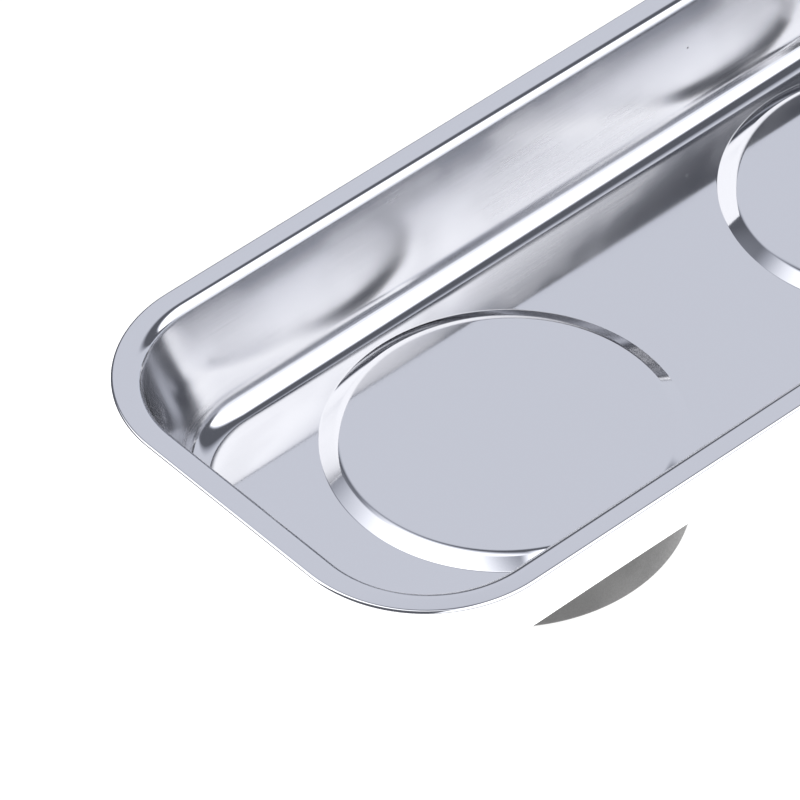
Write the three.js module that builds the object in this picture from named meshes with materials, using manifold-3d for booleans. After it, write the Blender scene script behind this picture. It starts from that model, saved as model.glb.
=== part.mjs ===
// A magnetic parts tray: a deep-drawn stainless pan on two rubber-booted ring magnets.
// Millimetres, +Z up. X runs along the tray, Y across it. The origin is the centre of the plane it stands on.
import * as THREE from "three";
import { mergeVertices } from "three/addons/utils/BufferGeometryUtils.js";
import Module from "manifold-3d";

// Pan
const TRAY_LENGTH = 324;
const TRAY_WIDTH = 140;
const TRAY_DEPTH = 37; // rim top above the floor's upper face
const SHEET = 0.8;
const RIM_CORNER_R = 39;
const FLOOR_CORNER_EASE = 9; // by which the corners are rounder at the floor than the rim's would be there
const HEM_R = 0.8; // fold of the rim's edge, two sheets thick
const HEM_WIDTH = 3.2;
const RIM_FLAT_END = 4.8; // inset at which the rim starts to bend down
const RIM_BEND_R = 3.5;
const WALL_TOP_SLOPE = THREE.MathUtils.degToRad(77); // the wall curves slightly from one slope to the other
const WALL_FOOT_SLOPE = THREE.MathUtils.degToRad(82);
const FLOOR_FILLET_R = 7.6;

// Raised magnet seats pressed into the floor
const SEAT_SPACING = 140;
const SEAT_BASE_R = 48;
const SEAT_RISE = 2.3;
const SEAT_SLOPE = THREE.MathUtils.degToRad(26); // straight part of the step
const SEAT_FOOT_R = 0.8; // bend at the step's foot
const SEAT_ROLL_R = 5; // roll from the step onto the seat's top
const SEAT_PATCH_R = 48.8; // blank that carries the step, trimmed into the flat floor

// Magnet base under each seat
const BOOT_R = 48;
const BOOT_WALL = 2.6;
const BOOT_FLOOR = 2.5;
const BOOT_EDGE_R = 1.5;
const BOOT_LIP_WIDTH = 3.4; // lip turned in over the magnet's upper edge
const BOOT_LIP = 1;
const BOOT_HOLE_R = 14; // access to the nut
const MAGNET_R = 45;
const MAGNET_BORE_R = 17;
const KEEPER_R = 44;
const KEEPER = 1.5;
const KEEPER_WELL_R = 15.5;
const KEEPER_WELL_TOP = 11.6;
const LOCATING_DISC_R = 40;
const STUD_R = 3;
const STUD_FLANGE_R = 6;
const STUD_FLANGE = 1;
const STUD_END = 4.4; // height of the stud's lower end
const HOLE_CLEARANCE = 0.3;
const NUT_ACROSS_FLATS = 10;
const NUT_HEIGHT = 4;
const WASHER_R = 9;
const WASHER = 1.2;
const GAP = 0.1; // between stacked pieces

// Heights that follow from them
const FLOOR_UNDER = 20; // underside of the pan's flat floor
const FLOOR_TOP = FLOOR_UNDER + SHEET;
const RIM_TOP = FLOOR_TOP + TRAY_DEPTH;
const BEND_FALL = RIM_BEND_R * (1 - Math.cos(WALL_TOP_SLOPE));
const FILLET_FALL = FLOOR_FILLET_R * (1 - Math.cos(WALL_FOOT_SLOPE));
const WALL_FALL = TRAY_DEPTH - BEND_FALL - FILLET_FALL;
const WALL_R = WALL_FALL / (Math.cos(WALL_TOP_SLOPE) - Math.cos(WALL_FOOT_SLOPE));
const FOOT_RUN = SEAT_FOOT_R * Math.sin(SEAT_SLOPE);
const ROLL_RUN = SEAT_ROLL_R * Math.sin(SEAT_SLOPE);
const ROUND_RISE = (SEAT_FOOT_R + SEAT_ROLL_R) * (1 - Math.cos(SEAT_SLOPE));
const SEAT_TOP_R = SEAT_BASE_R - FOOT_RUN - ROLL_RUN - (SEAT_RISE - ROUND_RISE) / Math.tan(SEAT_SLOPE);

// Facets
const CORNER_STEPS = 10;
const BEND_STEPS = 4;
const WALL_STEPS = 3;
const FILLET_STEPS = 6;
const SEAT_FOOT_STEPS = 2;
const SEAT_ROLL_STEPS = 4;
const HEM_STEPS = 6;
const SEAT_SEGMENTS = 64;
const RING_SEGMENTS = 48;
const SMALL_SEGMENTS = 24;

const wasm = await Module();
wasm.setup();

function toSolid(geometry) {
  const bare = geometry.clone();
  bare.deleteAttribute("normal");
  bare.deleteAttribute("uv");
  const merged = mergeVertices(bare, 1e-4);
  return new wasm.Manifold(
    new wasm.Mesh({
      numProp: 3,
      vertProperties: merged.attributes.position.array,
      triVerts: new Uint32Array(merged.index.array),
    }),
  );
}

function toGeometry(solid) {
  const mesh = solid.getMesh();
  const geometry = new THREE.BufferGeometry();
  geometry.setAttribute("position", new THREE.BufferAttribute(mesh.vertProperties, 3));
  geometry.setIndex(new THREE.BufferAttribute(mesh.triVerts, 1));
  geometry.computeVertexNormals();
  return geometry;
}

// A solid of revolution about Z from [radius, height] pairs, anticlockwise seen with the radius to the right.
function turned(pairs, segments) {
  const points = pairs.map(([radius, height]) => new THREE.Vector2(radius, height));
  return new THREE.LatheGeometry(points, segments).rotateX(Math.PI / 2);
}

// Points on an arc in the radius-height plane; angles run anticlockwise from the outward direction.
function arc(centre, radius, from, to, steps) {
  return Array.from({ length: steps + 1 }, (_, i) => {
    const angle = from + ((to - from) * i) / steps;
    return [centre[0] + radius * Math.cos(angle), centre[1] + radius * Math.sin(angle)];
  });
}

// A ring of rectangular section about Z.
function ring(inner, outer, bottom, top, segments) {
  const section = [
    [inner, bottom],
    [outer, bottom],
    [outer, top],
    [inner, top],
    [inner, bottom],
  ];
  return turned(section, segments);
}

// Levels down the pan's upper face, from the rim's flat to the floor, along three tangent arcs.
// Each has its inset from the rim's edge, its height, its slope and the radius of its corners.
function wallLevels() {
  const levels = [{ inset: RIM_FLAT_END, height: RIM_TOP, slope: 0 }];
  const arcs = [
    [RIM_BEND_R, 0, WALL_TOP_SLOPE, BEND_STEPS],
    [WALL_R, WALL_TOP_SLOPE, WALL_FOOT_SLOPE, WALL_STEPS],
    [FLOOR_FILLET_R, WALL_FOOT_SLOPE, 0, FILLET_STEPS],
  ];
  for (const [radius, from, to, steps] of arcs) {
    const start = levels.at(-1);
    const turn = Math.sign(to - from) * radius;
    for (let i = 1; i <= steps; i += 1) {
      const slope = from + ((to - from) * i) / steps;
      const inset = start.inset + turn * (Math.sin(slope) - Math.sin(from));
      const height = start.height - turn * (Math.cos(from) - Math.cos(slope));
      levels.push({ inset, height, slope });
    }
  }
  return levels.map((level) => {
    const share = THREE.MathUtils.smoothstep(RIM_TOP - level.height, 0, TRAY_DEPTH);
    return { ...level, corner: RIM_CORNER_R - level.inset + FLOOR_CORNER_EASE * share };
  });
}

// The pan's cross-section, from the underside's centre out round the hem and back over the top.
function panSection() {
  const over = wallLevels();
  const under = over.map(({ inset, height, slope, corner }) => ({
    inset: inset - SHEET * Math.sin(slope),
    height: height - SHEET * Math.cos(slope),
    corner: corner + SHEET * Math.sin(slope),
  }));
  const fold = arc([-HEM_R, RIM_TOP - HEM_R], HEM_R, -Math.PI / 2, Math.PI / 2, HEM_STEPS);
  const hem = [[-HEM_WIDTH, RIM_TOP - SHEET], [-HEM_WIDTH, RIM_TOP - 2 * HEM_R], ...fold].map(
    ([outward, height]) => ({ inset: -outward, height, corner: RIM_CORNER_R + outward }),
  );
  return [...under.reverse(), ...hem, ...over];
}

// A lathe whose four quarters are drawn apart to the corners, so the round becomes a rounded rectangle.
function aroundTray(section) {
  const columns = 4 * (CORNER_STEPS + 1);
  const rows = [{ height: FLOOR_UNDER }, ...section, { height: FLOOR_TOP }];
  const points = rows.map(({ corner = 0, height }) => new THREE.Vector2(corner, height));
  const geometry = new THREE.LatheGeometry(points, columns);
  const position = geometry.getAttribute("position");
  for (let column = 0; column <= columns; column += 1) {
    const turn = column % columns;
    const quarter = Math.floor(turn / (CORNER_STEPS + 1));
    const share = (turn % (CORNER_STEPS + 1)) / CORNER_STEPS;
    const angle = ((quarter + share) * Math.PI) / 2;
    const side = quarter < 2 ? 1 : -1;
    const end = quarter === 0 || quarter === 3 ? 1 : -1;
    section.forEach(({ inset, height, corner }, row) => {
      const x = side * (TRAY_LENGTH / 2 - inset - corner) + corner * Math.sin(angle);
      const z = end * (TRAY_WIDTH / 2 - inset - corner) + corner * Math.cos(angle);
      position.setXYZ(column * rows.length + row + 1, x, height, z);
    });
  }
  return geometry.rotateX(Math.PI / 2);
}

// One raised seat: a flat patch of the floor whose middle steps up.
function seatPatch() {
  const level = -Math.PI / 2;
  const step = (floor) => [
    ...arc([SEAT_BASE_R, floor + SEAT_FOOT_R], SEAT_FOOT_R, level, level - SEAT_SLOPE, SEAT_FOOT_STEPS),
    ...arc(
      [SEAT_TOP_R, floor + SEAT_RISE - SEAT_ROLL_R],
      SEAT_ROLL_R,
      -level - SEAT_SLOPE,
      -level,
      SEAT_ROLL_STEPS,
    ),
  ];
  const section = [
    [0, FLOOR_UNDER + SEAT_RISE],
    ...step(FLOOR_UNDER).reverse(),
    [SEAT_PATCH_R, FLOOR_UNDER],
    [SEAT_PATCH_R, FLOOR_TOP],
    ...step(FLOOR_TOP),
    [0, FLOOR_TOP + SEAT_RISE],
  ];
  return turned(section, SEAT_SEGMENTS);
}

function pan(seatCentres) {
  let solid = toSolid(aroundTray(panSection()));
  for (const x of seatCentres) {
    const cutter = new THREE.CylinderGeometry(SEAT_PATCH_R - 0.2, SEAT_PATCH_R - 0.2, 4, SEAT_SEGMENTS);
    cutter.rotateX(Math.PI / 2).translate(x, 0, FLOOR_UNDER);
    solid = solid.subtract(toSolid(cutter));
    solid = solid.add(toSolid(seatPatch().translate(x, 0, 0)));
  }
  return toGeometry(solid);
}

function rubberBoot() {
  const inner = BOOT_R - BOOT_WALL;
  const top = FLOOR_UNDER - GAP;
  const edge = [BOOT_R - BOOT_EDGE_R, BOOT_EDGE_R];
  const section = [
    [BOOT_HOLE_R, 0],
    ...arc(edge, BOOT_EDGE_R, -Math.PI / 2, 0, 3),
    [BOOT_R, top],
    [inner - BOOT_LIP_WIDTH, top],
    [inner - BOOT_LIP_WIDTH, top - BOOT_LIP],
    [inner, top - BOOT_LIP],
    [inner, BOOT_FLOOR],
    [BOOT_HOLE_R, BOOT_FLOOR],
    [BOOT_HOLE_R, 0],
  ];
  return turned(section, RING_SEGMENTS);
}

// A pressed steel disc under the magnet, with a well that rises into the magnet's bore to hide the nut.
function keeperPlate() {
  const bottom = BOOT_FLOOR + GAP;
  const hole = STUD_R + HOLE_CLEARANCE;
  const section = [
    [KEEPER_WELL_R - KEEPER, bottom],
    [KEEPER_R, bottom],
    [KEEPER_R, bottom + KEEPER],
    [KEEPER_WELL_R, bottom + KEEPER],
    [KEEPER_WELL_R, KEEPER_WELL_TOP],
    [hole, KEEPER_WELL_TOP],
    [hole, KEEPER_WELL_TOP - KEEPER],
    [KEEPER_WELL_R - KEEPER, KEEPER_WELL_TOP - KEEPER],
    [KEEPER_WELL_R - KEEPER, bottom],
  ];
  return turned(section, RING_SEGMENTS);
}

function weldStud() {
  const top = FLOOR_UNDER + SEAT_RISE - GAP;
  const section = [
    [0, STUD_END],
    [STUD_R - 0.5, STUD_END],
    [STUD_R, STUD_END + 0.5],
    [STUD_R, top - STUD_FLANGE],
    [STUD_FLANGE_R, top - STUD_FLANGE],
    [STUD_FLANGE_R, top],
    [0, top],
  ];
  return turned(section, SMALL_SEGMENTS);
}

function lockNut(top) {
  const corner = NUT_ACROSS_FLATS / 2 / Math.cos(Math.PI / 6);
  const outline = new THREE.Shape();
  for (let i = 0; i < 6; i += 1) {
    const angle = (i * Math.PI) / 3;
    outline[i === 0 ? "moveTo" : "lineTo"](corner * Math.cos(angle), corner * Math.sin(angle));
  }
  outline.closePath();
  outline.holes.push(new THREE.Path().absarc(0, 0, STUD_R + HOLE_CLEARANCE, 0, 2 * Math.PI, true));
  const options = { depth: NUT_HEIGHT, bevelEnabled: false, curveSegments: SMALL_SEGMENTS / 2 };
  return new THREE.ExtrudeGeometry(outline, options).translate(0, 0, top - NUT_HEIGHT);
}

const polishedSteel = new THREE.MeshStandardMaterial({ color: 0xd2d4da, metalness: 1, roughness: 0.12 });
const platedSteel = new THREE.MeshStandardMaterial({ color: 0xb4b6b8, metalness: 1, roughness: 0.35 });
const ferrite = new THREE.MeshStandardMaterial({ color: 0x2c2c2e, metalness: 0.1, roughness: 0.6 });
const blackRubber = new THREE.MeshStandardMaterial({ color: 0x3a3939, metalness: 0, roughness: 0.75 });

const tray = new THREE.Group();

function place(name, geometry, material, x) {
  const mesh = new THREE.Mesh(geometry, material);
  mesh.name = name;
  mesh.position.x = x;
  tray.add(mesh);
}

const seats = { left: -SEAT_SPACING / 2, right: SEAT_SPACING / 2 };
place("tray_pan", pan(Object.values(seats)), polishedSteel, 0);

const keeperTop = BOOT_FLOOR + GAP + KEEPER;
const magnetTop = FLOOR_UNDER - GAP - BOOT_LIP - GAP;
const washerTop = KEEPER_WELL_TOP - KEEPER - GAP;
for (const [side, x] of Object.entries(seats)) {
  const magnet = ring(MAGNET_BORE_R, MAGNET_R, keeperTop + GAP, magnetTop, RING_SEGMENTS);
  const disc = ring(
    STUD_FLANGE_R + HOLE_CLEARANCE,
    LOCATING_DISC_R,
    magnetTop + GAP,
    FLOOR_UNDER + SEAT_RISE - GAP,
    RING_SEGMENTS,
  );
  const washer = ring(STUD_R + HOLE_CLEARANCE, WASHER_R, washerTop - WASHER, washerTop, SMALL_SEGMENTS);
  place(`${side}_weld_stud`, weldStud(), platedSteel, x);
  place(`${side}_locating_disc`, disc, platedSteel, x);
  place(`${side}_ring_magnet`, magnet, ferrite, x);
  place(`${side}_keeper_plate`, keeperPlate(), platedSteel, x);
  place(`${side}_clamp_washer`, washer, platedSteel, x);
  place(`${side}_lock_nut`, lockNut(washerTop - WASHER - GAP), platedSteel, x);
  place(`${side}_rubber_boot`, rubberBoot(), blackRubber, x);
}

export default tray;
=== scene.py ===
"""Magnetic parts tray: a deep-drawn stainless pan on two rubber-booted ring magnets.

Metres, +Z up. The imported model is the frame: X runs along the tray, Y across it, and the boots stand
on Z = 0.
"""

import math

import bmesh
import bpy
from bpy.props import FloatProperty, FloatVectorProperty, PointerProperty
from mathutils import Matrix, Quaternion, Vector


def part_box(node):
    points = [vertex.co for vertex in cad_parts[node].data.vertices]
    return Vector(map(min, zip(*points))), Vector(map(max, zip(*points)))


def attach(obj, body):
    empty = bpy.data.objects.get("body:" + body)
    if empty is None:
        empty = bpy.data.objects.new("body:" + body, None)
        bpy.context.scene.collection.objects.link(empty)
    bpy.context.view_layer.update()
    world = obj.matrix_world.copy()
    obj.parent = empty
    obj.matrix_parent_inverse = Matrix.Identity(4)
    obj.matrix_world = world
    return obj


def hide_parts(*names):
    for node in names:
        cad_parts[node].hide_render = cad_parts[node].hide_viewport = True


bl_info = {
    "name": "Magnetic parts tray",
    "version": (1, 0, 0),
    "blender": (4, 5, 0),
    "location": "3D View > Sidebar > Parts tray",
    "description": "Builds a polished parts tray with its two magnet bases and a plain stage",
    "category": "Object",
}

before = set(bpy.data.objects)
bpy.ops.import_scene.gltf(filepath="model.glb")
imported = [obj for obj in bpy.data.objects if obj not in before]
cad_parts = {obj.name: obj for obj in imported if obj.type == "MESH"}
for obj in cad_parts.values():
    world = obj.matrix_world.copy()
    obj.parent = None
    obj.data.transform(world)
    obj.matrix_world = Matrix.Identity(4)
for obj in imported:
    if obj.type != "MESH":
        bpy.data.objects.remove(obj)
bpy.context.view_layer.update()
PAN_LOW, PAN_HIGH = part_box("tray_pan")
SIDES = ("left", "right")
MM = 0.001
HALF_TURN = math.pi
MAGNET_BORE = 17 * MM
MAGNET_EDGE = 0.8 * MM
KEEPER_THICK = 1.5 * MM
KEEPER_WELL = 15.5 * MM
STUD_HOLE = 3.3 * MM
DISC_BORE = 6.3 * MM
STUD_SHANK = 3 * MM
STUD_FLANGE_THICK = 1 * MM
PLAIN_SHANK = 8 * MM  # unthreaded length under the stud's flange


def seat_centre(side):
    """The middle of one magnet base, from its boot."""
    low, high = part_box(f"{side}_rubber_boot")
    return Vector(((low.x + high.x) / 2, (low.y + high.y) / 2, 0))


# ---------------------------------------------------------------- settings


def length(name, text, millimetres):
    return FloatProperty(
        name=name, description=text, default=millimetres * MM, unit="LENGTH", precision=5
    )


def turn(name, text, degrees):
    return FloatProperty(
        name=name, description=text, default=math.radians(degrees), unit="ROTATION"
    )


def colour(name, text, rgb):
    return FloatVectorProperty(
        name=name, description=text, default=rgb, subtype="COLOR", size=3, min=0, max=1
    )


class PanSizes(bpy.types.PropertyGroup):
    sheet: length("Sheet", "Thickness of the stainless sheet", 0.8)
    rim_corner: length("Rim corner", "Corner radius of the rim's outer edge", 39)
    corner_ease: length(
        "Corner ease", "How much rounder the corners get towards the floor", 9
    )
    hem: length("Hem", "Width of the edge folded back under the rim", 3.2)
    rim_flat: length("Rim flat", "Inset at which the rim starts to bend down", 4.8)
    rim_bend: length("Rim bend", "Radius of the bend from rim to wall", 3.5)
    floor_fillet: length("Floor fillet", "Radius between the wall and the floor", 7.6)
    wall_top: turn("Wall at the top", "Slope of the wall below the rim's bend", 77)
    wall_foot: turn("Wall at the foot", "Slope of the wall above the floor's fillet", 82)
    seat: length("Seat", "Radius of a raised seat where it meets the floor", 48)
    seat_rise: length("Seat rise", "Height of a seat above the floor", 2.3)
    seat_foot: length("Seat foot", "Radius of the bend at a seat's foot", 0.8)
    seat_roll: length("Seat roll", "Radius of the roll onto a seat's top", 5)
    seat_slope: turn("Seat slope", "Slope of a seat's step", 26)


class BaseSizes(bpy.types.PropertyGroup):
    boot_wall: length("Boot wall", "Thickness of the boot's side", 2.6)
    boot_floor: length("Boot floor", "Thickness of the boot's floor", 2.5)
    boot_edge: length("Boot edge", "Rounding of the boot's lower edge", 1.5)
    boot_hole: length("Boot hole", "Radius of the hole that leads to the nut", 14)
    boot_lip: length("Boot lip", "Width of the lip turned in over the magnet", 3.4)
    boot_lip_thick: length("Lip thickness", "Thickness of that lip", 1)
    thread_pitch: length("Thread pitch", "Pitch of the stud's thread", 1)
    thread_depth: length("Thread depth", "Depth of the stud's thread", 0.35)
    chamfer: length("Chamfer", "Broken edge of plates, washers and nuts", 0.25)


class Finishes(bpy.types.PropertyGroup):
    steel: colour("Polished steel", "Colour of the pan", (0.62, 0.622, 0.64))
    zinc: colour("Zinc plate", "Colour of plated steel", (0.62, 0.63, 0.64))
    ferrite: colour("Ferrite", "Colour of the ring magnets", (0.035, 0.035, 0.04))
    rubber: colour("Rubber", "Colour of the boots", (0.075, 0.074, 0.073))


class StageSettings(bpy.types.PropertyGroup):
    azimuth: turn("Azimuth", "Where the camera stands round the tray", -40.19)
    elevation: turn("Elevation", "How far the camera looks down", 44.28)
    roll: turn("Roll", "Tilt of the camera about its own line of sight", -1.85)
    distance: length("Distance", "From the camera to the point it looks at", 1881)
    lens: FloatProperty(
        name="Lens", description="Focal length in millimetres", default=328.7
    )
    target_x: length("Target X", "Point looked at, along the tray", -80.5)
    target_y: length("Target Y", "Point looked at, across the tray", 29)
    floor_radius: length("Floor", "Radius of the plain floor", 6000)
    floor_gap: length("Floor gap", "Floor below the boots", 0.2)
    canopy_height: length("Canopy height", "Height of the lamps above the floor", 500)
    canopy_radius: length("Canopy radius", "How far the lamps reach", 3600)
    lamp: FloatProperty(name="Lamp", description="Brightness of the lamps", default=2.4)
    panel: FloatProperty(
        name="Panel", description="Brightness of the grey back panel", default=0.95
    )
    gap: FloatProperty(
        name="Gap", description="Brightness of the dark gaps", default=0.17
    )


# ---------------------------------------------------------------- mesh helpers


def finish_mesh(bm, name, material, smooth=True):
    """Turns a closed bmesh into an object at the origin, in one material."""
    bmesh.ops.remove_doubles(bm, verts=bm.verts, dist=1e-7)
    bmesh.ops.recalc_face_normals(bm, faces=bm.faces)
    mesh = bpy.data.meshes.new(name)
    for face in bm.faces:
        face.smooth = smooth
    bm.to_mesh(mesh)
    bm.free()
    mesh.materials.append(material)
    obj = bpy.data.objects.new(name, mesh)
    bpy.context.scene.collection.objects.link(obj)
    return obj


def hand_over(obj, slot, *nodes):
    """The piece rides on the row's one body and stands for its CAD nodes."""
    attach(obj, "root")
    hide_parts(*nodes)


def bend(radius, start, end, steps):
    """Offsets along an arc whose slope goes from start to end: (inwards, down, slope)."""
    points = []
    for i in range(steps + 1):
        slope = start + (end - start) * i / steps
        sign = 1 if end > start else -1
        points.append(
            (
                sign * radius * (math.sin(slope) - math.sin(start)),
                sign * radius * (math.cos(start) - math.cos(slope)),
                slope,
            )
        )
    return points


def chain(*bends):
    """Joins bends end to end."""
    inwards, down, joined = 0.0, 0.0, []
    for points in bends:
        skip = 1 if joined else 0
        joined += [(inwards + x, down + z, slope) for x, z, slope in points[skip:]]
        inwards, down = inwards + points[-1][0], down + points[-1][1]
    return joined


def ease(share):
    share = min(max(share, 0), 1)
    return share * share * (3 - 2 * share)


def edges_between(verts):
    """The edges whose two ends are both in verts."""
    chosen = set(verts)
    return [
        e for e in {e for v in verts for e in v.link_edges} if chosen.issuperset(e.verts)
    ]


def rounded_loop(bm, half, corner, height, steps):
    """A closed loop of edges: a rectangle whose corners are bevelled round."""
    before = set(bm.verts)
    corners = [
        bm.verts.new((x * half.x, y * half.y, height))
        for x, y in ((1, 1), (-1, 1), (-1, -1), (1, -1))
    ]
    bm.faces.new(corners)
    bmesh.ops.bevel(
        bm,
        geom=corners,
        offset=corner,
        offset_type="OFFSET",
        segments=steps,
        profile=0.5,
        affect="VERTICES",
        material=-1,
    )
    made = [v for v in bm.verts if v not in before]
    faces = {f for v in made for f in v.link_faces}
    bmesh.ops.delete(bm, geom=list(faces), context="FACES_ONLY")
    return edges_between(made)


def round_loop(bm, centre, radius, height, steps):
    """A closed circle of edges."""
    made = bmesh.ops.create_circle(
        bm,
        cap_ends=False,
        segments=steps,
        radius=radius,
        matrix=Matrix.Translation(centre + Vector((0, 0, height))),
    )["verts"]
    return edges_between(made)


def loft(bm, outlines):
    """Bridges outlines, each (a function that makes its loop at a height, its height), in turn.

    They are bridged while they stand well apart and are then moved to their heights.
    """
    apart = 20 * MM
    loops = [make(i * apart) for i, (make, _) in enumerate(outlines)]
    for a, b in zip(loops, loops[1:]):
        bmesh.ops.bridge_loops(bm, edges=a + b)
    for i, (loop, (_, height)) in enumerate(zip(loops, outlines)):
        verts = list({v for e in loop for v in e.verts})
        bmesh.ops.translate(bm, verts=verts, vec=(0, 0, height - i * apart))
    return loops


def turned(name, section, centre, material, steps, smooth=True):
    """A piece turned on a lathe from a closed (radius, height) section, or one that ends on the axis."""
    bm = bmesh.new()
    verts = [bm.verts.new((centre.x + r, centre.y, z)) for r, z in section]
    pairs = list(zip(verts, verts[1:]))
    if section[0][0] > 0 or section[-1][0] > 0:
        pairs.append((verts[-1], verts[0]))
    edges = [bm.edges.new(pair) for pair in pairs]
    bmesh.ops.spin(
        bm,
        geom=verts + edges,
        cent=centre,
        axis=(0, 0, 1),
        angle=2 * HALF_TURN,
        steps=steps,
        use_merge=True,
    )
    return finish_mesh(bm, name, material, smooth)


def rounded_section(corners, steps=4):
    """A section's corner points (radius, height, rounding), each corner replaced by an arc."""
    section = []
    count = len(corners)
    for i, (r, z, rounding) in enumerate(corners):
        here = Vector((r, z))
        if rounding <= 0:
            section.append((r, z))
            continue
        to_last = (Vector(corners[i - 1][:2]) - here).normalized()
        to_next = (Vector(corners[(i + 1) % count][:2]) - here).normalized()
        half = to_last.angle(to_next) / 2
        middle = here + (to_last + to_next).normalized() * rounding / math.sin(half)
        first = here + to_last * rounding / math.tan(half) - middle
        sweep = first.angle_signed(here + to_next * rounding / math.tan(half) - middle)
        for k in range(steps + 1):
            point = middle + Matrix.Rotation(-sweep * k / steps, 2) @ first
            section.append((point.x, point.y))
    return section


# ---------------------------------------------------------------- the pan


def pan_stations(sizes):
    """The pan's upper face from the rim's flat to the floor: (inset, height, slope, corner radius)."""
    rim_top = PAN_HIGH.z
    floor_top = PAN_LOW.z + sizes.sheet
    depth = rim_top - floor_top
    top, foot = sizes.wall_top, sizes.wall_foot
    wall_drop = (
        depth
        - sizes.rim_bend * (1 - math.cos(top))
        - sizes.floor_fillet * (1 - math.cos(foot))
    )
    wall_radius = wall_drop / (math.cos(top) - math.cos(foot))
    path = chain(
        bend(sizes.rim_bend, 0, top, 18),
        bend(wall_radius, top, foot, 12),
        bend(sizes.floor_fillet, foot, 0, 28),
    )
    stations = []
    for inwards, down, slope in path:
        inset = sizes.rim_flat + inwards
        corner = sizes.rim_corner - inset + sizes.corner_ease * ease(down / depth)
        stations.append((inset, rim_top - down, slope, corner))
    return stations


def seat_step(sizes):
    """A seat's step from its foot to its top: (distance in from the foot, height, slope)."""
    slope = sizes.seat_slope
    foot = bend(sizes.seat_foot, slope, 0, 6)[::-1]
    roll = bend(sizes.seat_roll, 0, slope, 16)[::-1]
    foot_run, foot_rise = foot[0][0], foot[0][1]
    roll_run, roll_rise = roll[0][0], roll[0][1]
    straight = (sizes.seat_rise - foot_rise - roll_rise) / math.tan(slope)
    up = [(foot_run - x, foot_rise - z, s) for x, z, s in foot]
    start, height = up[-1][0] + straight, sizes.seat_rise - roll_rise
    up += [(start + roll_run - x, height + roll_rise - z, s) for x, z, s in roll]
    return up


def build_pan(sizes, material):
    bm = bmesh.new()
    half = Vector((PAN_HIGH.x, PAN_HIGH.y))
    rim_top, under = PAN_HIGH.z, PAN_LOW.z
    sheet = sizes.sheet
    floor_top = under + sheet
    ledge = 0.3 * MM

    def outline(inset, height, corner):
        size = half - Vector((inset, inset))
        return lambda z: rounded_loop(bm, size, corner, z, 28), height

    def rim(inset, height):
        return outline(inset, height, sizes.rim_corner - inset)

    stations = pan_stations(sizes)
    flat_inset, _, _, flat_corner = stations[-1]

    # Upper face from the floor to the rim, then round the outside of the fold.
    outlines = [outline(flat_inset + ledge, floor_top, flat_corner - ledge)]
    outlines += [
        outline(inset, height, corner) for inset, height, _, corner in stations[::-1]
    ]
    outlines += [rim(sizes.rim_flat - ledge, rim_top), rim(sheet + ledge, rim_top)]
    for i in range(13):
        turned_by = HALF_TURN * i / 12
        outlines.append(
            rim(sheet * (1 - math.sin(turned_by)), rim_top - sheet * (1 - math.cos(turned_by)))
        )

    # The hem's inner edge, then the lower face one sheet lower, back to the floor.
    nip = 0.12 * MM
    fold_under, rim_under = rim_top - 2 * sheet, rim_top - sheet
    outlines += [
        rim(sheet + ledge, fold_under),
        rim(sizes.hem - nip, fold_under),
        rim(sizes.hem - nip / 3, fold_under + nip / 3),
        rim(sizes.hem, fold_under + nip),
        rim(sizes.hem, rim_under - nip),
        rim(sizes.hem + nip / 3, rim_under - nip / 3),
        rim(sizes.hem + nip, rim_under),
    ]
    outlines += [
        outline(
            inset - sheet * math.sin(slope),
            height - sheet * math.cos(slope),
            corner + sheet * math.sin(slope),
        )
        for inset, height, slope, corner in stations[1::2]
    ]
    outlines += [
        outline(flat_inset, under, flat_corner),
        outline(flat_inset + ledge, under, flat_corner - ledge),
    ]
    loops = loft(bm, outlines)

    # Seats: the step of each, on both faces, and the flat floor round them.
    step = [(-ledge, 0, 0)] + seat_step(sizes)
    step.append((step[-1][0] + ledge, sizes.seat_rise, 0))
    for height, edge in ((floor_top, loops[0]), (under, loops[-1])):
        feet = []
        for side in SIDES:
            centre = seat_centre(side)
            rings = [
                (
                    lambda z, radius=sizes.seat - run: round_loop(bm, centre, radius, z, 128),
                    height + rise,
                )
                for run, rise, _ in step
            ]
            rings = loft(bm, rings)
            bmesh.ops.contextual_create(bm, geom=rings[-1])
            feet += rings[0]
        bmesh.ops.triangle_fill(
            bm, use_beauty=True, use_dissolve=False, edges=edge + feet, normal=(0, 0, 1)
        )
    return finish_mesh(bm, "pressed_pan", material)


# ---------------------------------------------------------------- the magnet bases


def radius_of(node):
    low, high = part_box(node)
    return (high.x - low.x) / 2


def build_boot(side, sizes, material):
    node = f"{side}_rubber_boot"
    low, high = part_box(node)
    outer, inner = radius_of(node), radius_of(node) - sizes.boot_wall
    mouth = inner - sizes.boot_lip
    ledge = high.z - sizes.boot_lip_thick
    soft = 0.3 * MM
    section = rounded_section(
        [
            (sizes.boot_hole, low.z, 0.5 * MM),
            (outer, low.z, sizes.boot_edge),
            (outer, high.z, soft),
            (mouth, high.z, soft),
            (mouth, ledge, soft),
            (inner, ledge, 0),
            (inner, sizes.boot_floor, soft),
            (sizes.boot_hole, sizes.boot_floor, soft),
        ],
        6,
    )
    return turned(f"{side}_boot", section, seat_centre(side), material, 160)


def build_magnet(side, material):
    node = f"{side}_ring_magnet"
    low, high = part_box(node)
    bore, outer, edge = MAGNET_BORE, radius_of(node), MAGNET_EDGE
    section = rounded_section(
        [
            (bore, low.z, edge),
            (outer, low.z, edge),
            (outer, high.z, edge),
            (bore, high.z, edge),
        ],
        3,
    )
    return turned(f"{side}_magnet", section, seat_centre(side), material, 120)


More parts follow.
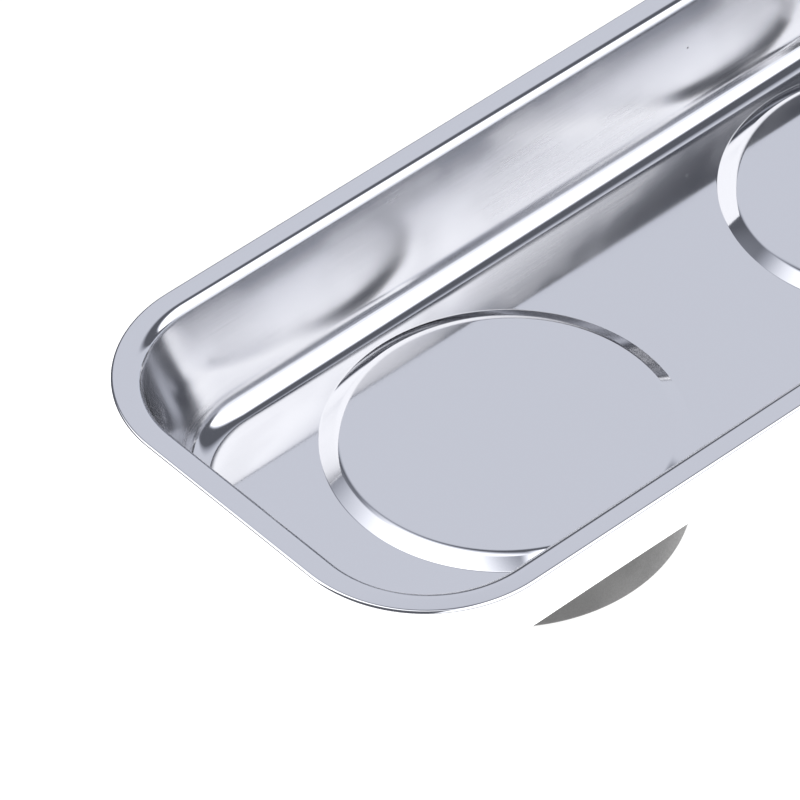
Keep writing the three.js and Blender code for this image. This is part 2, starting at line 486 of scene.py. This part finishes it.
def build_flat_ring(name, node, bore, side, sizes, material):
    """A disc or washer with broken edges."""
    low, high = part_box(node)
    outer = radius_of(node)
    corners = ((bore, low.z), (outer, low.z), (outer, high.z), (bore, high.z))
    section = rounded_section(
        [(r, z, sizes.chamfer) for r, z in corners],
        2,
    )
    return turned(name, section, seat_centre(side), material, 96)


def build_keeper(side, sizes, material):
    node = f"{side}_keeper_plate"
    low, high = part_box(node)
    plate, well, bore = KEEPER_THICK, KEEPER_WELL, STUD_HOLE
    edge = sizes.chamfer
    section = rounded_section(
        [
            (well - plate, low.z, edge),
            (radius_of(node), low.z, edge),
            (radius_of(node), low.z + plate, edge),
            (well, low.z + plate, edge),
            (well, high.z, 3 * edge),
            (bore, high.z, edge),
            (bore, high.z - plate, edge),
            (well - plate, high.z - plate, edge),
        ],
        3,
    )
    return turned(f"{side}_keeper", section, seat_centre(side), material, 96)


def build_stud(side, sizes, material):
    node = f"{side}_weld_stud"
    low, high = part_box(node)
    flange, shank, flange_thick = radius_of(node), STUD_SHANK, STUD_FLANGE_THICK
    root = shank - sizes.thread_depth
    section = [(0, low.z), (root - 0.2 * MM, low.z)]
    height = low.z + 0.3 * MM
    while height < high.z - flange_thick - PLAIN_SHANK:
        section += [(root, height), (shank, height + sizes.thread_pitch / 2)]
        height += sizes.thread_pitch
    section += [
        (shank, height),
        (shank, high.z - flange_thick),
        (flange, high.z - flange_thick),
        (flange, high.z),
        (0, high.z),
    ]
    return turned(f"{side}_stud", section, seat_centre(side), material, 48)


def build_nut(side, material):
    node = f"{side}_lock_nut"
    low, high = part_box(node)
    centre = seat_centre(side)
    corner = radius_of(node)
    across = corner * math.cos(math.pi / 6)
    bore, chamfer = STUD_HOLE, 0.5 * MM
    bm = bmesh.new()

    def circle(radius):
        return lambda z: round_loop(bm, centre, radius, z, 24)

    def hexagon(z):
        edges = round_loop(bm, centre, corner, z, 6)
        cut = bmesh.ops.subdivide_edges(bm, edges=edges, cuts=3)["geom_inner"]
        verts = {v for e in edges for v in e.verts}
        verts |= {v for v in cut if isinstance(v, bmesh.types.BMVert)}
        return edges_between(verts)

    loft(
        bm,
        [
            (circle(bore), low.z + chamfer / 2),
            (circle(bore + chamfer / 2), low.z),
            (circle(across - 0.1 * MM), low.z),
            (hexagon, low.z + chamfer),
            (hexagon, high.z - chamfer),
            (circle(across - 0.1 * MM), high.z),
            (circle(bore + chamfer / 2), high.z),
            (circle(bore), high.z - chamfer / 2),
            (circle(bore), low.z + chamfer / 2),
        ],
    )
    return finish_mesh(bm, f"{side}_nut", material, smooth=False)


# ---------------------------------------------------------------- materials


def add(tree, kind, sockets=(), **properties):
    """A node with its properties set and its inputs given as values or as sockets to link."""
    made = tree.nodes.new(kind)
    for name, value in properties.items():
        setattr(made, name, value)
    for name, value in dict(sockets).items():
        if isinstance(value, bpy.types.NodeSocket):
            tree.links.new(value, made.inputs[name])
        else:
            made.inputs[name].default_value = value
    return made


def sums(tree, operation, a, b=0.5):
    return add(tree, "ShaderNodeMath", {0: a, 1: b}, operation=operation).outputs[0]


def shaded_range(tree, value, low, high, to_low=0.0, to_high=1.0):
    return add(
        tree,
        "ShaderNodeMapRange",
        {
            "Value": value,
            "From Min": low,
            "From Max": high,
            "To Min": to_low,
            "To Max": to_high,
        },
        interpolation_type="SMOOTHSTEP",
    ).outputs["Result"]


def noise(tree, vector, scale, detail=3.0, roughness=0.5):
    return add(
        tree,
        "ShaderNodeTexNoise",
        {"Vector": vector, "Scale": scale, "Detail": detail, "Roughness": roughness},
    ).outputs["Fac"]


def stretched(tree, vector, scale):
    return add(tree, "ShaderNodeMapping", {"Vector": vector, "Scale": scale}).outputs[0]


def new_group(name, inputs, outputs):
    """A node group with float or vector inputs and outputs, and its two end nodes."""
    tree = bpy.data.node_groups.new(name, "ShaderNodeTree")
    for label, kind, default in inputs:
        socket = tree.interface.new_socket(
            label, in_out="INPUT", socket_type=f"NodeSocket{kind}"
        )
        if default is not None:
            socket.default_value = default
    for label, kind in outputs:
        tree.interface.new_socket(
            label, in_out="OUTPUT", socket_type=f"NodeSocket{kind}"
        )
    return tree, add(tree, "NodeGroupInput").outputs, add(tree, "NodeGroupOutput").inputs


def use_group(tree, group, sockets):
    made = tree.nodes.new("ShaderNodeGroup")
    made.node_tree = group
    for name, value in sockets.items():
        if isinstance(value, bpy.types.NodeSocket):
            tree.links.new(value, made.inputs[name])
        else:
            made.inputs[name].default_value = value
    return made.outputs


def drawing_marks_group():
    """Fine lines round the walls, left by the punch and by polishing. They fade out on level faces."""
    tree, given, out = new_group(
        "drawing_marks",
        [("Vector", "Vector", None), ("Fineness", "Float", 1.0), ("Level", "Float", 0.0)],
        [("Lines", "Float"), ("Waves", "Float"), ("Upright", "Float")],
    )
    normal = add(tree, "ShaderNodeNewGeometry").outputs["Normal"]
    rise = add(tree, "ShaderNodeSeparateXYZ", {0: normal}).outputs["Z"]
    upright = shaded_range(tree, sums(tree, "ABSOLUTE", rise), 0.75, 0.3)
    upright = sums(tree, "MAXIMUM", upright, given["Level"])
    scaled = add(
        tree,
        "ShaderNodeVectorMath",
        {0: given["Vector"], "Scale": given["Fineness"]},
        operation="SCALE",
    ).outputs[0]
    fine = noise(tree, stretched(tree, scaled, (14, 14, 1500)), 1.0, 3.0, 0.6)
    broad = noise(tree, stretched(tree, scaled, (9, 9, 260)), 1.0, 2.0, 0.5)
    patches = shaded_range(tree, noise(tree, scaled, 30.0, 2.0), 0.35, 0.6)
    mixed = add(
        tree, "ShaderNodeMix", {"Factor": 0.45, "A": fine, "B": broad}, data_type="FLOAT"
    ).outputs["Result"]
    lines = sums(tree, "MULTIPLY", mixed, patches)
    tree.links.new(lines, out["Lines"])
    tree.links.new(broad, out["Waves"])
    tree.links.new(upright, out["Upright"])
    return tree


def specks_group():
    """A few small nicks and dust specks."""
    tree, given, out = new_group(
        "specks",
        [("Vector", "Vector", None), ("Spacing", "Float", 60.0), ("Size", "Float", 0.03)],
        [("Mask", "Float")],
    )
    cells = add(
        tree,
        "ShaderNodeTexVoronoi",
        {"Vector": given["Vector"], "Scale": given["Spacing"], "Randomness": 1.0},
    )
    spot = sums(tree, "LESS_THAN", cells.outputs["Distance"], given["Size"])
    chance = add(
        tree, "ShaderNodeSeparateColor", {0: cells.outputs["Color"]}
    ).outputs["Red"]
    rare = sums(tree, "GREATER_THAN", chance, 0.85)
    tree.links.new(sums(tree, "MULTIPLY", spot, rare), out["Mask"])
    return tree


def grain_group():
    """A fine even grain over a slow cloudiness."""
    tree, given, out = new_group(
        "grain",
        [("Vector", "Vector", None), ("Grain", "Float", 1500.0), ("Cloud", "Float", 30.0)],
        [("Fine", "Float"), ("Cloudy", "Float")],
    )
    tree.links.new(noise(tree, given["Vector"], given["Grain"], 2.0), out["Fine"])
    tree.links.new(noise(tree, given["Vector"], given["Cloud"], 4.0), out["Cloudy"])
    return tree


def group(name, build):
    return bpy.data.node_groups.get(name) or build()


def empty_material(name):
    """A material with no nodes yet, and its tree."""
    material = bpy.data.materials.new(name)
    material.use_nodes = True
    material.node_tree.nodes.clear()
    return material, material.node_tree


def new_material(name):
    """An empty node material: its tree, its Principled shader's inputs and Object coordinates."""
    material = bpy.data.materials.new(name)
    material.use_nodes = True
    tree = material.node_tree
    shader = tree.nodes["Principled BSDF"]
    coords = add(tree, "ShaderNodeTexCoord").outputs["Object"]
    return material, tree, shader.inputs, coords


def tinted(tree, rgb, low, high, value):
    """The colour, darker or lighter as value goes from 0 to 1."""
    shades = [tuple(min(c * k, 1) for c in rgb) + (1,) for k in (low, high)]
    return add(
        tree,
        "ShaderNodeMix",
        {"Factor": value, "A": shades[0], "B": shades[1]},
        data_type="RGBA",
    ).outputs[2]


def bumped(tree, height, distance, strength=1.0):
    return add(
        tree,
        "ShaderNodeBump",
        {"Height": height, "Distance": distance, "Strength": strength},
    ).outputs["Normal"]


def polished_steel(rgb):
    material, tree, shader, coords = new_material("polished_steel")
    marks = use_group(
        tree, group("drawing_marks", drawing_marks_group), {"Vector": coords}
    )
    specks = use_group(tree, group("specks", specks_group), {"Vector": coords})
    haze = noise(tree, coords, 22.0, 3.0)
    upright_lines = sums(tree, "MULTIPLY", marks["Lines"], marks["Upright"])
    rough = sums(tree, "MULTIPLY_ADD", upright_lines, 0.22)
    rough.node.inputs[2].default_value = 0.05
    rough = sums(
        tree, "ADD", rough, shaded_range(tree, haze, 0.35, 0.75, 0.0, 0.03)
    )
    rough = sums(
        tree, "ADD", rough, sums(tree, "MULTIPLY", marks["Upright"], 0.08)
    )
    rough = sums(tree, "MAXIMUM", rough, sums(tree, "MULTIPLY", specks["Mask"], 0.35))
    shade = sums(tree, "SUBTRACT", 1.0, sums(tree, "MULTIPLY", specks["Mask"], 0.7))
    tree.links.new(tinted(tree, rgb, 0.3, 1.0, shade), shader["Base Color"])
    tree.links.new(rough, shader["Roughness"])
    tree.links.new(bumped(tree, upright_lines, 0.03 * MM, 0.6), shader["Normal"])
    shader["Metallic"].default_value = 1.0
    return material


def zinc_plate(rgb):
    material, tree, shader, coords = new_material("zinc_plate")
    cloud = use_group(
        tree,
        group("grain", grain_group),
        {"Vector": coords, "Grain": 900.0, "Cloud": 160.0},
    )
    marks = use_group(
        tree,
        group("drawing_marks", drawing_marks_group),
        {"Vector": coords, "Fineness": 2.0, "Level": 0.4},
    )
    tree.links.new(tinted(tree, rgb, 0.8, 1.1, cloud["Cloudy"]), shader["Base Color"])
    rough = shaded_range(tree, cloud["Cloudy"], 0.3, 0.7, 0.28, 0.45)
    tree.links.new(rough, shader["Roughness"])
    height = sums(tree, "ADD", cloud["Fine"], marks["Lines"])
    tree.links.new(bumped(tree, height, 0.01 * MM, 0.4), shader["Normal"])
    shader["Metallic"].default_value = 1.0
    return material


def sintered_ferrite(rgb):
    material, tree, shader, coords = new_material("sintered_ferrite")
    grain = use_group(
        tree,
        group("grain", grain_group),
        {"Vector": coords, "Grain": 1400.0, "Cloud": 90.0},
    )
    tree.links.new(tinted(tree, rgb, 0.7, 1.5, grain["Cloudy"]), shader["Base Color"])
    rough = shaded_range(tree, grain["Fine"], 0.3, 0.7, 0.5, 0.75)
    tree.links.new(rough, shader["Roughness"])
    tree.links.new(bumped(tree, grain["Fine"], 0.05 * MM, 0.6), shader["Normal"])
    return material


def moulded_rubber(rgb):
    material, tree, shader, coords = new_material("moulded_rubber")
    grain = use_group(
        tree,
        group("grain", grain_group),
        {"Vector": coords, "Grain": 2600.0, "Cloud": 55.0},
    )
    specks = use_group(
        tree,
        group("specks", specks_group),
        {"Vector": coords, "Spacing": 190.0, "Size": 0.07},
    )
    cloudy = shaded_range(tree, grain["Cloudy"], 0.3, 0.7)
    dusty = sums(tree, "MAXIMUM", sums(tree, "MULTIPLY", cloudy, 0.6), specks["Mask"])
    tree.links.new(tinted(tree, rgb, 0.85, 1.5, dusty), shader["Base Color"])
    rough = shaded_range(tree, grain["Fine"], 0.3, 0.7, 0.5, 0.68)
    tree.links.new(rough, shader["Roughness"])
    tree.links.new(bumped(tree, grain["Fine"], 0.04 * MM, 0.5), shader["Normal"])
    shader["Specular IOR Level"].default_value = 0.4
    return material


# ---------------------------------------------------------------- the stage


def lamp_canopy(settings):
    """The lamps: one wide canopy over the tray whose glow varies like that of a plain studio.

    It has a big soft lamp head in front and to the right, a soft light to the left, a grey panel at the
    back and dark gaps between them. Only reflections and shading see it. Places on it are counted in
    canopy heights to the right of the tray and behind it.
    """
    bm = bmesh.new()
    bmesh.ops.create_circle(
        bm, cap_ends=True, segments=96, radius=settings.canopy_radius
    )
    bmesh.ops.translate(bm, verts=bm.verts, vec=(0, 0, settings.canopy_height))
    material, tree = empty_material("lamp_canopy")
    coords = add(tree, "ShaderNodeTexCoord").outputs["Object"]
    spread = add(
        tree,
        "ShaderNodeVectorMath",
        {0: coords, "Scale": 1 / settings.canopy_height},
        operation="SCALE",
    ).outputs[0]
    spread = add(tree, "ShaderNodeSeparateXYZ", {0: spread}).outputs
    right, back = spread["X"], spread["Y"]

    def shade(*ramps):
        """The product of ramps (value, where it starts, where it ends)."""
        shades = [shaded_range(tree, *ramp) for ramp in ramps]
        product = shades[0]
        for other in shades[1:]:
            product = sums(tree, "MULTIPLY", product, other)
        return product

    def glow(strength, *ramps):
        return sums(tree, "MULTIPLY", shade(*ramps), strength)

    def slanted(share, of, other):
        return sums(tree, "ADD", other, sums(tree, "MULTIPLY", of, share))

    panel = glow(
        settings.panel,
        (slanted(0.5, right, back), 0.35, 0.7),
        (right, -0.35, 0.1),
        (slanted(-0.8, right, back), 1.4, 0.75),
    )
    left = glow(
        settings.lamp,
        (right, 0.12, -0.3),
        (slanted(0.57, right, back), -0.37, -0.2),
        (back, 1.6, 1.2),
    )
    shaded = glow(0.88, (back, 0.25, 0.85), (right, -0.75, -0.35), (right, 0.5, 0.2))
    left = sums(tree, "MULTIPLY", left, sums(tree, "SUBTRACT", 1.0, shaded))
    head = glow(
        settings.lamp,
        (slanted(0.8, right, back), 0.32, 0.12),
        (slanted(-0.86, back, right), -0.1, 0.05),
        (slanted(0.35, back, right), 1.6, 1.3),
        (back, -6.8, -6.0),
    )
    dimmed = glow(0.4, (back, -1.13, -2.23))
    head = sums(tree, "MULTIPLY", head, sums(tree, "SUBTRACT", 1.0, dimmed))
    light = sums(tree, "MAXIMUM", sums(tree, "MAXIMUM", panel, left), head)
    light = sums(tree, "MAXIMUM", light, settings.gap)
    tint = add(
        tree,
        "ShaderNodeMix",
        {
            "Factor": sums(tree, "DIVIDE", light, settings.lamp),
            "A": (0.88, 0.93, 1.1, 1),
            "B": (1, 1, 1.01, 1),
        },
        data_type="RGBA",
    ).outputs[2]
    lamps = add(tree, "ShaderNodeEmission", {"Color": tint, "Strength": light})
    add(tree, "ShaderNodeOutputMaterial", {"Surface": lamps.outputs[0]})
    canopy = finish_mesh(bm, "lamp_canopy", material, smooth=False)
    canopy.visible_camera = False


def dark_room(settings):
    """Everything beyond the canopy: dark to reflections, plain white to the camera."""
    world = bpy.data.worlds.new("dark_room")
    bpy.context.scene.world = world
    world.use_nodes = True
    tree = world.node_tree
    tree.nodes.clear()
    ray = add(tree, "ShaderNodeTexCoord").outputs["Generated"]
    behind = add(
        tree,
        "ShaderNodeVectorMath",
        {0: ray, 1: (1, -0.1, 0)},
        operation="DOT_PRODUCT",
    ).outputs["Value"]
    wall = shaded_range(tree, behind, 0.45, 0.75, settings.gap, settings.panel)
    walls = {"Color": (0.9, 0.95, 1.08, 1), "Strength": wall}
    dark = add(tree, "ShaderNodeBackground", walls)
    white = add(tree, "ShaderNodeBackground", {"Color": (1, 1, 1, 1), "Strength": 1.0})
    seen = add(tree, "ShaderNodeLightPath").outputs["Is Camera Ray"]
    mix = add(
        tree, "ShaderNodeMixShader", {0: seen, 1: dark.outputs[0], 2: white.outputs[0]}
    )
    add(tree, "ShaderNodeOutputWorld", {"Surface": mix.outputs[0]})


def white_floor(settings):
    """A wide white floor that glows faintly, so that it stays white round a soft shadow.

    In reflections it is bright near the tray and falls off to the dark room.
    """
    bm = bmesh.new()
    bmesh.ops.create_circle(
        bm, cap_ends=True, segments=96, radius=settings.floor_radius
    )
    bmesh.ops.translate(bm, verts=bm.verts, vec=(0, 0, -settings.floor_gap))
    material, tree = empty_material("white_floor")
    coords = add(tree, "ShaderNodeTexCoord").outputs["Object"]
    away = add(
        tree, "ShaderNodeVectorMath", {0: coords}, operation="LENGTH"
    ).outputs["Value"]
    glow = add(tree, "ShaderNodeEmission", {"Color": (1, 1, 1, 1), "Strength": 1.1})
    paper = add(tree, "ShaderNodeBsdfDiffuse", {"Color": (0.9, 0.9, 0.9, 1)})
    floor_mix = {0: 0.16, 1: glow.outputs[0], 2: paper.outputs[0]}
    near = add(tree, "ShaderNodeMixShader", floor_mix)
    lit = shaded_range(tree, away, 0.3, 0.9, settings.lamp, settings.gap)
    mirrored = add(tree, "ShaderNodeEmission", {"Color": (1, 1, 1, 1), "Strength": lit})
    seen = add(tree, "ShaderNodeLightPath").outputs["Is Camera Ray"]
    mix = add(
        tree,
        "ShaderNodeMixShader",
        {0: seen, 1: mirrored.outputs[0], 2: near.outputs[0]},
    )
    add(tree, "ShaderNodeOutputMaterial", {"Surface": mix.outputs[0]})
    floor = finish_mesh(bm, "floor", material, smooth=False)


def stand_camera(settings):
    data = bpy.data.cameras.new("camera")
    data.lens = settings.lens
    data.sensor_width = 36
    data.clip_start, data.clip_end = 0.05, 100
    camera = bpy.data.objects.new("camera", data)
    bpy.context.scene.collection.objects.link(camera)
    bpy.context.scene.camera = camera
    target = Vector(
        (settings.target_x, settings.target_y, PAN_LOW.z + bpy.context.scene.tray_pan.sheet)
    )
    a, e = settings.azimuth, settings.elevation
    back = Vector(
        (math.sin(a) * math.cos(e), -math.cos(a) * math.cos(e), math.sin(e))
    )
    camera.location = target + back * settings.distance
    camera.rotation_mode = "QUATERNION"
    camera.rotation_quaternion = (-back).to_track_quat("-Z", "Y") @ Quaternion(
        (0, 0, 1), settings.roll
    )


# ---------------------------------------------------------------- operators


def finish_named(name, make, rgb):
    return bpy.data.materials.get(name) or make(rgb)


class TRAY_OT_pan(bpy.types.Operator):
    """Builds the pressed stainless pan"""

    bl_idname = "tray.pan"
    bl_label = "Pressed pan"

    def execute(self, context):
        scene = context.scene
        steel = finish_named("polished_steel", polished_steel, scene.tray_finish.steel)
        hand_over(build_pan(scene.tray_pan, steel), "pan", "tray_pan")
        return {"FINISHED"}


class TRAY_OT_boots(bpy.types.Operator):
    """Builds the two moulded rubber boots"""

    bl_idname = "tray.boots"
    bl_label = "Rubber boots"

    def execute(self, context):
        scene = context.scene
        rubber = finish_named("moulded_rubber", moulded_rubber, scene.tray_finish.rubber)
        for side in SIDES:
            boot = build_boot(side, scene.tray_base, rubber)
            hand_over(boot, "boot", f"{side}_rubber_boot")
        return {"FINISHED"}


class TRAY_OT_magnets(bpy.types.Operator):
    """Builds the two ferrite ring magnets"""

    bl_idname = "tray.magnets"
    bl_label = "Ring magnets"

    def execute(self, context):
        scene = context.scene
        ferrite = finish_named(
            "sintered_ferrite", sintered_ferrite, scene.tray_finish.ferrite
        )
        for side in SIDES:
            magnet = build_magnet(side, ferrite)
            hand_over(magnet, "ferrite", f"{side}_ring_magnet")
        return {"FINISHED"}


class TRAY_OT_plates(bpy.types.Operator):
    """Builds the locating discs and keeper plates"""

    bl_idname = "tray.plates"
    bl_label = "Discs and keepers"

    def execute(self, context):
        scene = context.scene
        zinc = finish_named("zinc_plate", zinc_plate, scene.tray_finish.zinc)
        for side in SIDES:
            node = f"{side}_locating_disc"
            disc = build_flat_ring(
                f"{side}_disc", node, DISC_BORE, side, scene.tray_base, zinc
            )
            hand_over(disc, "plated_steel", node)
            keeper = build_keeper(side, scene.tray_base, zinc)
            hand_over(keeper, "plated_steel", f"{side}_keeper_plate")
        return {"FINISHED"}


class TRAY_OT_fasteners(bpy.types.Operator):
    """Builds the weld studs, washers and nuts"""

    bl_idname = "tray.fasteners"
    bl_label = "Studs, washers and nuts"

    def execute(self, context):
        scene = context.scene
        zinc = finish_named("zinc_plate", zinc_plate, scene.tray_finish.zinc)
        for side in SIDES:
            stud = build_stud(side, scene.tray_base, zinc)
            hand_over(stud, "plated_steel", f"{side}_weld_stud")
            node = f"{side}_clamp_washer"
            washer = build_flat_ring(
                f"{side}_washer", node, STUD_HOLE, side, scene.tray_base, zinc
            )
            hand_over(washer, "plated_steel", node)
            nut = build_nut(side, zinc)
            hand_over(nut, "plated_steel", f"{side}_lock_nut")
        return {"FINISHED"}


class TRAY_OT_stage(bpy.types.Operator):
    """Sets up the floor, the light and the camera"""

    bl_idname = "tray.stage"
    bl_label = "Stage"

    def execute(self, context):
        settings = context.scene.tray_stage
        white_floor(settings)
        lamp_canopy(settings)
        dark_room(settings)
        stand_camera(settings)
        context.scene.view_settings.view_transform = "Standard"
        context.scene.view_settings.look = "None"
        return {"FINISHED"}


OPERATORS = (
    TRAY_OT_pan,
    TRAY_OT_boots,
    TRAY_OT_magnets,
    TRAY_OT_plates,
    TRAY_OT_fasteners,
    TRAY_OT_stage,
)


class TRAY_PT_panel(bpy.types.Panel):
    """Lists the pieces of the parts tray"""

    bl_idname = "TRAY_PT_panel"
    bl_label = "Parts tray"
    bl_space_type = "VIEW_3D"
    bl_region_type = "UI"
    bl_category = "Parts tray"

    def draw(self, context):
        for operator in OPERATORS:
            self.layout.operator(operator.bl_idname)
        for key in SETTINGS:
            box = self.layout.box()
            group_of = getattr(context.scene, key)
            for name in group_of.bl_rna.properties.keys():
                if name not in ("rna_type", "name"):
                    box.prop(group_of, name)


SETTINGS = {
    "tray_pan": PanSizes,
    "tray_base": BaseSizes,
    "tray_finish": Finishes,
    "tray_stage": StageSettings,
}


def register():
    for cls in (*SETTINGS.values(), *OPERATORS, TRAY_PT_panel):
        bpy.utils.register_class(cls)
    for key, cls in SETTINGS.items():
        setattr(bpy.types.Scene, key, PointerProperty(type=cls))


def unregister():
    for key in SETTINGS:
        delattr(bpy.types.Scene, key)
    for cls in (TRAY_PT_panel, *OPERATORS[::-1], *list(SETTINGS.values())[::-1]):
        bpy.utils.unregister_class(cls)


def main():
    register()
    bpy.ops.tray.pan()
    bpy.ops.tray.boots()
    bpy.ops.tray.magnets()
    bpy.ops.tray.plates()
    bpy.ops.tray.fasteners()
    bpy.ops.tray.stage()


if __name__ == "__main__":
    main()
